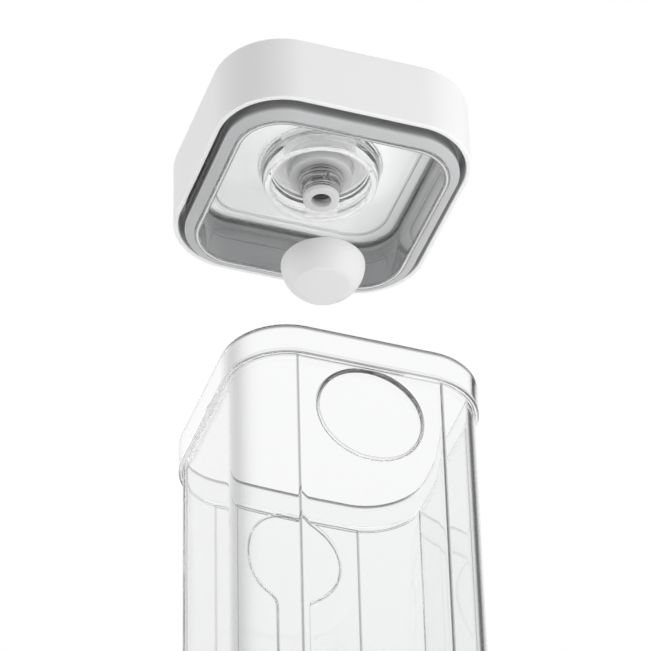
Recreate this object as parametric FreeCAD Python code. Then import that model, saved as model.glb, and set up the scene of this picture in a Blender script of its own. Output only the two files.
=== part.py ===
"""Vacuum seal canister: a clear square food canister and its lift-off vacuum lid, with the cap taken off.

Frame: origin at the centre of the base, +Z up, front face (round recess) towards -Y. Lengths are millimetres.
The lid is drawn from the lower edge of its skirt and then raised above the canister on the same axis.
"""
import FreeCAD
import Part
import math
import os

Vector = FreeCAD.Vector
UP = Vector(0, 0, 1)
ORIGIN = Vector(0, 0, 0)

os.makedirs("parts", exist_ok=True)

# Canister
canister_height = 180.0
rim_half = 53.4
rim_corner = 26.9
rim_height = 14.1
rim_step = 1.7
rim_wall = 2.0
rim_edge_round = 0.7
body_wall = 2.6
floor_thickness = 3.0
floor_round = 4.0
base_round = 5.0
foot_width = 9.0
foot_height = 1.2
panel_overlap = 2.8
panel_depth = 0.6
panel_shoulder = 2.5
ledge_depth = 11.5

# Round front recess and the keyhole recess on the back
badge_radius = 21.3
badge_gap = 0.8
badge_depth = 1.1
backing_margin = 0.6
gauge_half = 6.0
gauge_bend = 7.0
gauge_bottom = 26.0

# Fits between pieces
skirt_clearance = 0.4
gasket_clearance = 0.3
seat_clearance = 0.4
plate_clearance = 0.2
slip_clearance = 0.3

# Lid cover
lid_raise = 120.0
lid_height = 34.9
lid_top_round = 3.0
lid_top_wall = 2.4
skirt_wall = 2.2
skirt_edge_round = 0.6
cover_step = 2.0
dish_radius = 27.0
dish_wall = 2.2
dish_edge_round = 1.2
seat_thickness = 2.2
vent_count = 6
vent_radius = 0.9
vent_circle = 3.6
collar_wall = 1.8

# Clear inner moulding of the lid
plate_level = 18.5
plate_thickness = 2.0
panel_rise = 0.8
panel_border = 8.7
panel_edge_corner = 18.0
plug_wall = 2.4
plug_drop = 5.6
plug_edge_round = 0.6
bead_height = 0.6
bead_level = 9.0
ring_base_radius = 26.6
ring_lip_radius = 23.9
ring_inner_radius = 21.4
ring_height = 11.5
ring_lip_round = 0.9
well_drop = 2.0
moulding_wall = 1.8
boss_radius = 13.5
boss_height = 5.4
nipple_radius = 9.5
nipple_length = 5.7
tip_radius = 7.8
tip_length = 7.0
tip_round = 0.8
bore_radius = 4.2
groove_depth = 0.5
groove_width = 0.9
slot_width = 1.6
slot_height = 3.6
chimney_radius = 8.0
chimney_rise = 0.8
backing_thickness = 1.8

# Gasket and chimney seal
gasket_wall = 4.1
gasket_lip = 0.7
gasket_lip_height = 1.6
gasket_drop = 3.0
gasket_top = 15.4
second_lip_level = 6.0
seal_inner_radius = 5.2
seal_thickness = 1.6

# Vacuum valve
valve_radius = 13.0
valve_edge = 0.9
valve_crown = 2.4
stem_radius = 1.3
bulb_radius = 2.3
bulb_length = 3.2
valve_lift = 2.0
valve_gap = 0.2
tab_width = 9.0
tab_length = 6.5
tab_thickness = 1.6

# Powder cap
cap_radius = 17.7
cap_height = 12.4
cap_face_radius = 11.6
cap_wall = 1.8
cap_bulge = 1.6
cap_face_round = 1.2
cap_drop = 46.0
socket_wall = 1.7
air_slot = 2.4
air_groove = 0.9

# Sizes that follow from those above
body_half = rim_half - rim_step
body_corner = rim_corner - rim_step
inner_half = body_half - body_wall
mouth_half = rim_half - rim_wall
corner_centre = rim_half - rim_corner
panel_half = corner_centre + panel_overlap
badge_level = canister_height - rim_height - badge_gap - badge_radius
ledge_top = canister_height - ledge_depth
ledge_bottom = ledge_top - (mouth_half - inner_half)

lid_half = rim_half + skirt_clearance + skirt_wall
skirt_inner_half = rim_half + skirt_clearance
cover_inner_half = skirt_inner_half - cover_step
lid_level = canister_height + lid_raise
backing_level = plate_level + plate_thickness
backing_top = backing_level + backing_thickness
chimney_top = backing_top + chimney_rise
seat_under = chimney_top + seal_thickness
dish_floor = seat_under + seat_thickness

gasket_half = mouth_half - gasket_clearance
plug_half = gasket_half - gasket_wall
plug_inner_half = plug_half - plug_wall
panel_edge_half = plug_inner_half - panel_border
ring_lip_level = plate_level - ring_height
well_level = plate_level - well_drop
boss_level = well_level - boss_height
nipple_shoulder_level = boss_level - nipple_length
tip_level = nipple_shoulder_level - tip_length
socket_radius = tip_radius + slip_clearance
cap_floor = tip_level - slip_clearance - cap_wall
lid_travel = lid_raise + ledge_depth - gasket_drop - seat_clearance


def rounded_square(half, z):
    """Closed wire of a square with round corners, all corners of the object about the same four axes."""
    return square_with_corner(half, half - corner_centre, z)


def square_with_corner(half, corner, z):
    """Closed wire of a square of the half width given, its corners arcs of the radius given."""
    centre = half - corner
    diagonal = corner * math.sqrt(0.5)
    edges = []
    for quarter in range(4):
        turn = FreeCAD.Rotation(UP, 90 * quarter)
        side_start = turn.multVec(Vector(half, -centre, z))
        side_end = turn.multVec(Vector(half, centre, z))
        middle = turn.multVec(Vector(centre + diagonal, centre + diagonal, z))
        next_start = turn.multVec(Vector(centre, half, z))
        edges.append(Part.LineSegment(side_start, side_end).toShape())
        edges.append(Part.Arc(side_end, middle, next_start).toShape())
    return Part.Wire(edges)


def block(half, low, high):
    """Upright solid on a rounded square."""
    return Part.Face(rounded_square(half, low)).extrude(Vector(0, 0, high - low))


def square_sweep(profile):
    """Ring whose closed section of (half width, height) points is carried round a rounded square."""
    path = rounded_square(profile[0][0], 0)
    start = path.Edges[0]
    middle = start.valueAt((start.FirstParameter + start.LastParameter) / 2)
    corners = [Vector(half, middle.y, height) for half, height in profile]
    section = Part.makePolygon(corners + corners[:1])
    return path.makePipeShell([section], True, False)


def cone_block(low_half, low, high_half, high):
    """Upright solid whose rounded square grows evenly from its lower to its upper face."""
    wires = [rounded_square(low_half, low), rounded_square(high_half, high)]
    return Part.makeLoft(wires, True, True)


def turned(profile):
    """Solid of revolution about Z from a closed outline of (radius, height) points."""
    corners = [Vector(radius, 0, height) for radius, height in profile]
    outline = Part.makePolygon(corners + corners[:1])
    return Part.Face(outline).revolve(ORIGIN, UP, 360)


def disc(radius, low, high):
    """Upright cylinder about Z."""
    return Part.makeCylinder(radius, high - low, Vector(0, 0, low), UP)


def edges_at(shape, level):
    """Edges that lie wholly at one height."""
    near = 1e-4
    boxes = [(edge, edge.BoundBox) for edge in shape.Edges]
    return [edge for edge, box in boxes if max(abs(box.ZMin - level), abs(box.ZMax - level)) < near]


def edges_within(shape, level, reach):
    """Edges at one height that stay inside a square of the half width given."""
    return [e for e in edges_at(shape, level) if e.BoundBox.XMax < reach and e.BoundBox.XMin > -reach]


def export(shape, name):
    """One file for each piece, after a check that the solid is sound."""
    solid = shape.removeSplitter()
    state = "valid" if solid.isValid() else "NOT VALID"
    print(name, state, len(solid.Solids), "solid", round(solid.Volume), "mm3")
    solid.exportStep("parts/" + name + ".step")


def panelled_outline(z):
    """Body outline with flat panels set back from the round corners.

    A shoulder arc leads from each panel's edge to the corner arc. It touches the corner arc from inside, so
    its centre is where a circle about the corner's axis meets a circle about the panel's edge.
    """
    axis = Vector(corner_centre, corner_centre, z)
    edge = Vector(body_half - panel_depth, panel_half, z)
    apart = edge - axis
    reach = body_corner - panel_shoulder
    along = (apart.Length ** 2 + reach ** 2 - panel_shoulder ** 2) / (2 * apart.Length)
    across = math.sqrt(reach ** 2 - along ** 2)
    ahead = Vector(apart).normalize()
    shoulder = axis + ahead * along + UP.cross(ahead) * across
    touch = axis + (shoulder - axis).normalize() * body_corner
    bisector = ((edge - shoulder).normalize() + (touch - shoulder).normalize()).normalize()
    on_shoulder = shoulder + bisector * panel_shoulder
    on_corner = axis + Vector(1, 1, 0).normalize() * body_corner
    swap = lambda p: Vector(p.y, p.x, p.z)
    edges = []
    for quarter in range(4):
        turn = FreeCAD.Rotation(UP, 90 * quarter).multVec
        panel_start = Vector(edge.x, -edge.y, z)
        edges.append(Part.LineSegment(turn(panel_start), turn(edge)).toShape())
        edges.append(Part.Arc(turn(edge), turn(on_shoulder), turn(touch)).toShape())
        edges.append(Part.Arc(turn(touch), turn(on_corner), turn(swap(touch))).toShape())
        edges.append(Part.Arc(turn(swap(touch)), turn(swap(on_shoulder)), turn(swap(edge))).toShape())
    return Part.Wire(edges)


def keyhole(grow, y, depth):
    """Round recess with a gauge strip below it, joined by bends; every side is moved out by grow."""
    radius = badge_radius + grow
    half = gauge_half + grow
    bend = gauge_bend - grow
    end_level = gauge_bottom + gauge_half
    bend_level = badge_level - math.sqrt((radius + bend) ** 2 - (half + bend) ** 2)
    centre = Vector(0, y, badge_level)
    bend_centre = Vector(half + bend, y, bend_level)
    strip_top = Vector(half, y, bend_level)
    touch = centre + (bend_centre - centre).normalize() * radius
    bisector = ((strip_top - bend_centre).normalize() + (touch - bend_centre).normalize()).normalize()
    on_bend = bend_centre + bisector * bend
    strip_end = Vector(half, y, end_level)
    across = lambda p: Vector(-p.x, p.y, p.z)
    edges = [
        Part.LineSegment(strip_end, strip_top).toShape(),
        Part.Arc(strip_top, on_bend, touch).toShape(),
        Part.Arc(touch, centre + UP * radius, across(touch)).toShape(),
        Part.Arc(across(touch), across(on_bend), across(strip_top)).toShape(),
        Part.LineSegment(across(strip_top), across(strip_end)).toShape(),
        Part.Arc(across(strip_end), Vector(0, y, end_level - half), strip_end).toShape(),
    ]
    return Part.Face(Part.Wire(edges)).extrude(Vector(0, depth, 0))


def front_disc(radius, start, depth):
    """Round block on the front face's recess axis, from start in front of the axis plane towards the back."""
    return Part.makeCylinder(radius, depth, Vector(0, -start, badge_level), Vector(0, 1, 0))


def canister_body():
    """Clear canister: panelled shaft, stepped rim, sloped ledge in the mouth, recesses with backing pads."""
    rim_level = canister_height - rim_height
    envelope = block(body_half, 0, rim_level)
    envelope = envelope.makeFillet(base_round, edges_at(envelope, 0))
    shaft = envelope.common(Part.Face(panelled_outline(0)).extrude(UP * rim_level))
    outer = shaft.fuse(block(rim_half, rim_level, canister_height))
    cavity = block(inner_half, floor_thickness + foot_height, ledge_bottom)
    cavity = cavity.makeFillet(floor_round, edges_at(cavity, floor_thickness + foot_height))
    cavity = cavity.fuse(cone_block(inner_half, ledge_bottom, mouth_half, ledge_top))
    cavity = cavity.fuse(block(mouth_half, ledge_top, canister_height))
    foot_half = body_half - foot_width
    body = outer.cut(cavity).cut(block(foot_half, 0, foot_height))
    body = body.makeFillet(rim_edge_round, edges_at(body, canister_height))
    panel_plane = body_half - panel_depth
    recess_floor = panel_plane - badge_depth
    pad_start = (recess_floor + inner_half) / 2
    pad_depth = pad_start - inner_half + badge_depth
    body = body.fuse(front_disc(badge_radius + backing_margin, pad_start, pad_depth))
    body = body.fuse(keyhole(backing_margin, pad_start, -pad_depth))
    recess_start = body_half + panel_depth
    recess_depth = recess_start - recess_floor
    body = body.cut(front_disc(badge_radius, recess_start, recess_depth))
    return body.cut(keyhole(0, recess_start, -recess_depth))


def lid_cover():
    """White shell: skirt and top, a round dish for the pump, and the valve seat with its collar below."""
    shell = block(lid_half, 0, lid_height)
    shell = shell.makeFillet(lid_top_round, edges_at(shell, lid_height))
    ceiling = lid_height - lid_top_wall
    shell = shell.cut(block(skirt_inner_half, 0, backing_top))
    shell = shell.cut(block(cover_inner_half, backing_top, ceiling))
    shell = shell.makeFillet(skirt_edge_round, edges_at(shell, 0))
    collar_inner = chimney_radius + slip_clearance
    collar = disc(collar_inner + collar_wall, backing_top + slip_clearance, dish_floor)
    shell = shell.fuse(disc(dish_radius + dish_wall, seat_under, ceiling)).fuse(collar)
    shell = shell.cut(disc(dish_radius, dish_floor, lid_height))
    shell = shell.cut(disc(collar_inner, backing_top + slip_clearance, seat_under))
    shell = shell.cut(disc(stem_radius + slip_clearance, seat_under, dish_floor))
    for vent in range(vent_count):
        angle = 2 * math.pi * vent / vent_count
        centre = Vector(vent_circle * math.cos(angle), vent_circle * math.sin(angle), seat_under)
        shell = shell.cut(Part.makeCylinder(vent_radius, seat_thickness, centre, UP))
    dish_edges = edges_within(shell, lid_height, dish_radius + dish_wall)
    return shell.makeFillet(dish_edge_round, dish_edges)


def backing_plate():
    """White plate behind the clear moulding, welded under the cover's step, with a rib up to the dish."""
    hole = chimney_radius + slip_clearance
    plate = block(skirt_inner_half - plate_clearance, backing_level, backing_top)
    rib_outer = dish_radius - dish_wall
    rib = disc(rib_outer, backing_top, seat_under)
    rib = rib.cut(disc(rib_outer - moulding_wall, backing_top, seat_under))
    return plate.fuse(rib).cut(disc(hole, backing_level, backing_top))


def valve_carrier():
    """Clear moulding: plug wall and plate, with ring, well, boss, nipple and chimney turned in one."""
    plug = block(plug_half, -plug_drop, backing_level).cut(block(plug_inner_half, -plug_drop, plate_level))
    plug = plug.makeFillet(plug_edge_round, edges_at(plug, -plug_drop))
    bead = square_sweep([
        (plug_half - bead_height, bead_level - bead_height),
        (plug_half, bead_level - bead_height),
        (plug_half + bead_height, bead_level),
        (plug_half, bead_level + bead_height),
        (plug_half - bead_height, bead_level + bead_height),
    ])
    raised = Part.Face(square_with_corner(panel_edge_half, panel_edge_corner, plate_level - panel_rise))
    plug = plug.fuse(bead).fuse(raised.extrude(UP * panel_rise))
    plug = plug.cut(disc(ring_base_radius, plate_level - panel_rise, backing_level))
    well_top = well_level + moulding_wall
    boss_inner = boss_radius - moulding_wall
    pocket_floor = boss_level + moulding_wall
    turning = turned([
        (bore_radius, tip_level),
        (tip_radius, tip_level),
        (tip_radius, nipple_shoulder_level),
        (nipple_radius, nipple_shoulder_level),
        (nipple_radius, boss_level),
        (boss_radius, boss_level),
        (boss_radius, well_level),
        (ring_inner_radius, well_level),
        (ring_inner_radius, ring_lip_level),
        (ring_lip_radius, ring_lip_level),
        (ring_base_radius, plate_level - panel_rise),
        (ring_base_radius, backing_level),
        (ring_inner_radius, backing_level),
        (ring_inner_radius, well_top),
        (boss_inner, well_top),
        (boss_inner, pocket_floor),
        (chimney_radius, pocket_floor),
        (chimney_radius, chimney_top),
        (bore_radius, chimney_top),
    ])
    turning = turning.makeFillet(ring_lip_round, edges_at(turning, ring_lip_level))
    turning = turning.makeFillet(tip_round, edges_at(turning, tip_level))
    for share in (1, 2):
        level = nipple_shoulder_level + nipple_length * share / 3
        low = level - groove_width / 2
        high = level + groove_width / 2
        core = disc(nipple_radius - groove_depth, low, high)
        turning = turning.cut(disc(nipple_radius + groove_depth, low, high).cut(core))
    slot_low = nipple_shoulder_level - slot_height / 2
    slot_corner = Vector(-slot_width / 2, -nipple_radius, slot_low)
    slot = Part.makeBox(slot_width, nipple_radius, slot_height, slot_corner)
    return plug.fuse(turning.cut(slot))


def lid_gasket():
    """Grey ring on the plug wall: sloped lower face, two sealing lips, and a groove for the plug's bead."""
    neck = gasket_half - gasket_lip
    first_top = gasket_lip_height - gasket_drop
    second_low = second_lip_level - gasket_lip_height / 2
    second_top = second_lip_level + gasket_lip_height / 2
    return square_sweep([
        (plug_half, -plug_drop + plug_edge_round),
        (gasket_half, -gasket_drop),
        (gasket_half, first_top),
        (neck, first_top + gasket_lip),
        (neck, second_low - gasket_lip),
        (gasket_half, second_low),
        (gasket_half, second_top),
        (neck, second_top + gasket_lip),
        (neck, gasket_top),
        (plug_half, gasket_top),
        (plug_half, bead_level + bead_height),
        (plug_half + bead_height, bead_level),
        (plug_half, bead_level - bead_height),
    ])


def chimney_seal():
    """Silicone ring between the chimney's end and the underside of the valve seat."""
    return disc(chimney_radius, chimney_top, seat_under).cut(disc(seal_inner_radius, chimney_top, seat_under))


def vacuum_valve():
    """Silicone flap valve: crowned disc over the vents, stem with a bulb under the seat, and a lift tab."""
    face = dish_floor + valve_gap
    crown = face + valve_crown
    bulb_top = seat_under - slip_clearance - valve_lift
    bulb_low = bulb_top - bulb_length
    profile = [
        Part.LineSegment(Vector(0, 0, crown), Vector(0, 0, bulb_low)),
        Part.LineSegment(Vector(0, 0, bulb_low), Vector(stem_radius, 0, bulb_low)),
        Part.LineSegment(Vector(stem_radius, 0, bulb_low), Vector(bulb_radius, 0, bulb_top)),
        Part.LineSegment(Vector(bulb_radius, 0, bulb_top), Vector(stem_radius, 0, bulb_top)),
        Part.LineSegment(Vector(stem_radius, 0, bulb_top), Vector(stem_radius, 0, face)),
        Part.LineSegment(Vector(stem_radius, 0, face), Vector(valve_radius, 0, face)),
        Part.LineSegment(Vector(valve_radius, 0, face), Vector(valve_radius, 0, face + valve_edge)),
        Part.Arc(Vector(valve_radius, 0, face + valve_edge), dome_middle(face), Vector(0, 0, crown)),
    ]
    body = Part.Face(Part.Wire([side.toShape() for side in profile])).revolve(ORIGIN, UP, 360)
    tab_end = valve_radius + tab_length - tab_width / 2
    tab = Part.makeBox(tab_width, tab_end, tab_thickness, Vector(-tab_width / 2, -tab_end, face))
    tab = tab.fuse(Part.makeCylinder(tab_width / 2, tab_thickness, Vector(0, -tab_end, face), UP))
    return body.fuse(tab)


def dome_middle(face):
    """Point of the valve's crown halfway out: on a dome the rise falls off with the square of the radius."""
    rise = valve_crown - valve_edge
    return Vector(valve_radius / 2, 0, face + valve_crown - rise / 4)


def powder_cap():
    """White silicone cap: a convex cup with a socket for the nipple's tip and crossed air slots."""
    flank_foot = Vector(cap_face_radius, 0, 0)
    flank_top = Vector(cap_radius, 0, cap_height)
    chord = flank_top - flank_foot
    outward = Vector(chord.z, 0, -chord.x).normalize()
    middle = (flank_foot + flank_top) / 2 + outward * cap_bulge
    socket_outer = socket_radius + socket_wall
    socket_top = cap_wall + nipple_shoulder_level - tip_level
    inner_top = flank_top - Vector(cap_wall, 0, 0)
    inner_foot = flank_foot + Vector(0, 0, cap_wall)
    profile = [
        Part.LineSegment(Vector(0, 0, cap_wall), ORIGIN),
        Part.LineSegment(ORIGIN, flank_foot),
        Part.Arc(flank_foot, middle, flank_top),
        Part.LineSegment(flank_top, inner_top),
        Part.Arc(inner_top, middle - outward * cap_wall, inner_foot),
        Part.LineSegment(inner_foot, Vector(socket_outer, 0, cap_wall)),
        Part.LineSegment(Vector(socket_outer, 0, cap_wall), Vector(socket_outer, 0, socket_top)),
        Part.LineSegment(Vector(socket_outer, 0, socket_top), Vector(socket_radius, 0, socket_top)),
        Part.LineSegment(Vector(socket_radius, 0, socket_top), Vector(socket_radius, 0, cap_wall)),
        Part.LineSegment(Vector(socket_radius, 0, cap_wall), Vector(0, 0, cap_wall)),
    ]
    cup = Part.Face(Part.Wire([side.toShape() for side in profile])).revolve(ORIGIN, UP, 360)
    cup = cup.makeFillet(cap_face_round, edges_at(cup, 0))
    low = cap_wall - air_groove
    for turn in (0, 90):
        corner = Vector(-socket_outer, -air_slot / 2, low)
        slot = Part.makeBox(2 * socket_outer, air_slot, socket_top - low, corner)
        cup = cup.cut(slot.rotate(ORIGIN, UP, turn))
    return cup


export(canister_body(), "canister_body")
for make in (lid_cover, backing_plate, valve_carrier, lid_gasket, chimney_seal, vacuum_valve):
    export(make().translate(UP * lid_level), make.__name__)
export(powder_cap().translate(UP * (lid_level + cap_floor - cap_drop)), "powder_cap")
print("travel in mm: lid closes by", lid_travel, "cap pushes on by", cap_drop, "valve lifts by", valve_lift)
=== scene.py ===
"""Vacuum seal canister: a clear square canister, its white vacuum lid lifted off, and the powder cap below.

Every surface is a grid of points: rings of columns that run round the axis, stacked in rows along a profile.
"""
import bpy
import math
import numpy as np
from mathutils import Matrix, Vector


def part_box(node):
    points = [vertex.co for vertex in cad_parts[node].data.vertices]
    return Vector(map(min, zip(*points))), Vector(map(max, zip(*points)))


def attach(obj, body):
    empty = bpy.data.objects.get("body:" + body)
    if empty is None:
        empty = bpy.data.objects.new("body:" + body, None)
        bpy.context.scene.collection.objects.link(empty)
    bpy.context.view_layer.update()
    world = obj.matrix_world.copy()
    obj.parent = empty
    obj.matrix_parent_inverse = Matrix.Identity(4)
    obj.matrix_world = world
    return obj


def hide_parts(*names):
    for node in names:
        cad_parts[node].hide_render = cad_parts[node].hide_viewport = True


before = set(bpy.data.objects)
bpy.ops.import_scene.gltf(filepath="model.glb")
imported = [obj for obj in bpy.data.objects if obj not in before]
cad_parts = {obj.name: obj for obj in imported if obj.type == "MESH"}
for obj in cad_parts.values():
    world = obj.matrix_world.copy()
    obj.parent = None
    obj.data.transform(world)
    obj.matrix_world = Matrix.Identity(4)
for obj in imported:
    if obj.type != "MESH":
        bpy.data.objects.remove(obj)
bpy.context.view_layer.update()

# Canister: one clear moulding with round corners, flat panels set a little back, and a wider rim band. Its
# wall has its real thickness, because the lines that the eye sees are where both faces bend the light, and
# painted shade darkens these lines. A round recess is pressed into its front, and a keyhole with a gauge
# strip into its back.
MM = 0.001
canister_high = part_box("canister_body")[1]
canister_height = canister_high.z
rim_half = canister_high.x
rim_corner = 26.9 * MM
rim_step = 1.7 * MM
body_half = rim_half - rim_step
corner_centre = rim_half - rim_corner
body_corner = body_half - corner_centre
panel_depth = 0.6 * MM
panel_overlap = 2.8 * MM
panel_shoulder = 2.5 * MM
body_wall = 2.6 * MM
inner_half = body_half - body_wall
FLAT_STEPS = 16
PANEL_STEPS = 2
SHOULDER_STEPS = 8
CORNER_STEPS = 36

panel_edge = np.array([body_corner - panel_depth, panel_overlap])
edge_reach = np.hypot(*panel_edge)
shoulder_reach = body_corner - panel_shoulder
along = (edge_reach ** 2 + shoulder_reach ** 2 - panel_shoulder ** 2) / (2 * edge_reach)
across = math.sqrt(shoulder_reach ** 2 - along ** 2)
ahead = panel_edge / edge_reach
shoulder_centre = along * ahead + across * np.array([-ahead[1], ahead[0]])
panel_turn = math.asin(panel_overlap / body_corner)
shoulder_turn = math.atan2(shoulder_centre[1], shoulder_centre[0])
half_turn = np.concatenate([
    np.linspace(0, panel_turn, PANEL_STEPS + 1),
    np.linspace(panel_turn, shoulder_turn, SHOULDER_STEPS + 1)[1:],
    np.linspace(shoulder_turn, math.pi / 4, CORNER_STEPS + 1)[1:],
])
turn = np.concatenate([half_turn, (math.pi / 2 - half_turn)[-2:0:-1]])
flat = np.linspace(-1, 1, FLAT_STEPS, endpoint=False)
QUARTER = flat.size + turn.size
COLUMNS = 4 * QUARTER


def four_quarters(x, y):
    """One quarter's columns carried round the axis: each quarter turn takes (x, y) to (-y, x)."""
    return np.concatenate([x, -y, -x, y], axis=-1), np.concatenate([y, x, -y, -x], axis=-1)


def square(half, height, edge=0.0, centre=corner_centre, shade=0.0, frost=0.0):
    """Corner of a profile that is carried round a square, its round corners about four axes at centre.

    Shade tells how grey the plastic looks there, and frost how matt it is."""
    return half, height, edge, centre, shade, frost


def square_rings(profile):
    """Rounded squares, one ring for each row (half width, height, corner axis) of the profile.

    Columns on a flat lie at (x, -half); columns on a corner lie on an arc of radius half - centre about
    (centre, -centre), at an angle that runs from the flat's end to the next flat's start.
    """
    half, height, centre = (column[:, None] for column in np.asarray(profile, float).T[:3])
    radius = half - centre
    x = np.concatenate([flat * centre, centre + radius * np.sin(turn)], axis=1)
    y = np.concatenate([flat * 0 - half, -centre - radius * np.cos(turn)], axis=1)
    x, y = four_quarters(x, y)
    return np.stack([x, y, np.broadcast_to(height, x.shape)], axis=2)


def stacked(half, heights):
    """Rings of one size at many heights."""
    heights = np.asarray(heights, float)
    return square_rings(np.stack([half + 0 * heights, heights, corner_centre + 0 * heights], axis=1))


def panel_set_back():
    """How far each column of the shaft lies back from the plain rounded square.

    On the flat it is the panel's plane, then the shoulder's arc from the panel's edge to where it touches the
    corner arc, and then nothing along the corner."""
    plain = body_corner * np.stack([np.cos(half_turn), np.sin(half_turn)], axis=1)
    on_panel = np.stack([np.full(half_turn.size, body_corner - panel_depth), plain[:, 1]], axis=1)
    share = np.clip((half_turn - panel_turn) / (shoulder_turn - panel_turn), 0, 1)
    from_edge = panel_edge - shoulder_centre
    start = math.atan2(from_edge[1], from_edge[0])
    angle = start + share * (shoulder_turn - start)
    on_shoulder = shoulder_centre + panel_shoulder * np.stack([np.cos(angle), np.sin(angle)], axis=1)
    shaped = np.where((half_turn < panel_turn)[:, None], on_panel, on_shoulder)
    shaped = np.where((half_turn > shoulder_turn)[:, None], plain, shaped)
    back = shaped - plain
    mirrored = back[-2:0:-1]
    x = np.concatenate([np.zeros(flat.size), back[:, 1], mirrored[:, 0]])
    y = np.concatenate([np.full(flat.size, panel_depth), -back[:, 0], -mirrored[:, 1]])
    x, y = four_quarters(x, y)
    return np.stack([x, y, np.zeros(x.size)], axis=1)


EDGE_POINTS = 5


def soften(corners, steps=EDGE_POINTS):
    """Profile of (size, height, edge radius, more) corners with each corner turned into an arc of its radius.

    The arc touches both sides of the corner; its centre lies on their bisector at radius / sin(half angle).
    """
    corners = np.asarray(corners, float)
    points = []
    for before, here, after in zip(np.roll(corners, 1, 0), corners, np.roll(corners, -1, 0)):
        if here[2] == 0:
            points.append(here[None, [0, 1, *range(3, len(here))]])
            continue
        back = (before - here)[:2] / np.hypot(*(before - here)[:2])
        on = (after - here)[:2] / np.hypot(*(after - here)[:2])
        half_angle = math.acos(np.clip(back @ on, -1, 1)) / 2
        middle = here[:2] + (back + on) / np.hypot(*(back + on)) * here[2] / math.sin(half_angle)
        first = here[:2] + back * here[2] / math.tan(half_angle) - middle
        last = here[:2] + on * here[2] / math.tan(half_angle) - middle
        sweep = math.pi - 2 * half_angle
        share = np.linspace(0, 1, steps)[:, None]
        arc = middle + (np.sin((1 - share) * sweep) * first + np.sin(share * sweep) * last) / math.sin(sweep)
        points.append(np.concatenate([arc, np.tile(here[3:], (steps, 1))], axis=1))
    return np.concatenate(points)


def grid_quads(rows, columns, closed_rows=False):
    """Quads between neighbouring rows and columns; columns always close, rows close on request."""
    r, c = np.meshgrid(np.arange(rows if closed_rows else rows - 1), np.arange(columns), indexing="ij")
    r_next = (r + 1) % rows
    c_next = (c + 1) % columns
    corners = (r * columns + c, r * columns + c_next, r_next * columns + c_next, r_next * columns + c)
    return np.stack(corners, axis=-1)


def weld(points, quads):
    """Points nearer than the weld size become one, and quads that lose a side become triangles.

    Returns the numbers of the points that stay, and the faces."""
    size = 1e-7
    places = np.round(points / size).astype(np.int64)
    _, first, place = np.unique(places, axis=0, return_index=True, return_inverse=True)
    quads = place.reshape(-1)[quads]
    same = quads == np.roll(quads, -1, axis=1)
    whole = quads[~same.any(axis=1)]
    short = quads[same.sum(axis=1) == 1]
    keep = ~same[same.sum(axis=1) == 1]
    return first, whole.tolist() + short[keep].reshape(-1, 3).tolist()


sharp_edge = math.radians(32)


def make_piece(name, points, quads, material, body, slot, **marks):
    """Welded mesh as a smooth object with its sharp edges kept, riding on its body.

    Each mark, one value for each point, becomes an attribute that the material reads."""
    points = points.reshape(-1, 3)
    stay, faces = weld(points, quads.reshape(-1, 4))
    mesh = bpy.data.meshes.new(name)
    mesh.from_pydata(points[stay], [], faces)
    mesh.polygons.foreach_set("use_smooth", np.ones(len(mesh.polygons), bool))
    mesh.set_sharp_from_angle(angle=sharp_edge)
    for mark, values in marks.items():
        values = np.asarray(values, np.float32).reshape(-1)[stay]
        mesh.attributes.new(mark, "FLOAT", "POINT").data.foreach_set("value", values)
    mesh.materials.append(material)
    piece = bpy.data.objects.new(name, mesh)
    bpy.context.scene.collection.objects.link(piece)
    shading = piece.modifiers.new("flat faces stay flat beside rounds", "WEIGHTED_NORMAL")
    shading.keep_sharp = True
    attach(piece, body)
    return piece


def new_material(name):
    """Empty node material with its Principled shader and a helper that adds and links nodes."""
    material = bpy.data.materials.new(name)
    material.use_nodes = True
    tree = material.node_tree
    shader = tree.nodes["Principled BSDF"]

    def add(kind, links=None, **settings):
        node = tree.nodes.new(kind)
        for key, value in settings.items():
            if key.startswith("in_"):
                node.inputs[key[3:].replace("_", " ")].default_value = value
            else:
                setattr(node, key, value)
        for socket, source in (links or {}).items():
            tree.links.new(source, node.inputs[socket])
        return node

    return material, tree, shader, add


# Grey of the painted shade on clear plastic: dark lines and bands standing in for shade and refraction.
painted_shade_grey = (0.03, 0.03, 0.03)
clear_ior = 1.5
clear_rough = 0.03
frost_passing = 0.1
frost_rough = 0.1
ripple_spread = 6
ripple_strength = 0.04
ripple_height = 0.2 * MM


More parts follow.
